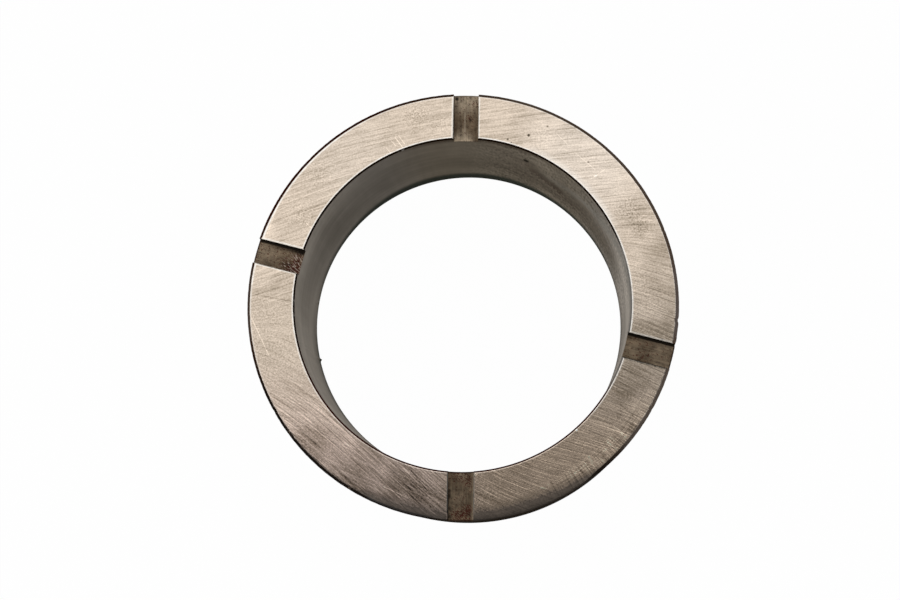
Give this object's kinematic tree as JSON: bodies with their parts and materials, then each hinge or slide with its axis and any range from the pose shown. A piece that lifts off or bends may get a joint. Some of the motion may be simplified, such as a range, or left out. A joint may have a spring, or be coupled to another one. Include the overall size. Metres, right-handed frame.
{
  "type": "main bearing",
  "caption": "Thick one-piece steel bearing ring for a crankshaft journal, with straight oil slots milled across its thrust face.",
  "frame": {"origin": "on the ring's axis, at its plain back face, which it stands on", "axes": "+Z along the bore's axis from the back face to the slotted thrust face; +Y along the first pass of the oil slots"},
  "size_m": [0.0816, 0.0816, 0.0318],
  "materials": {
    "ground_steel": "ground, with light wear"
  },
  "bodies": {
    "root": {"bearing_ring": "ground_steel"}
  },
  "joints": []
}
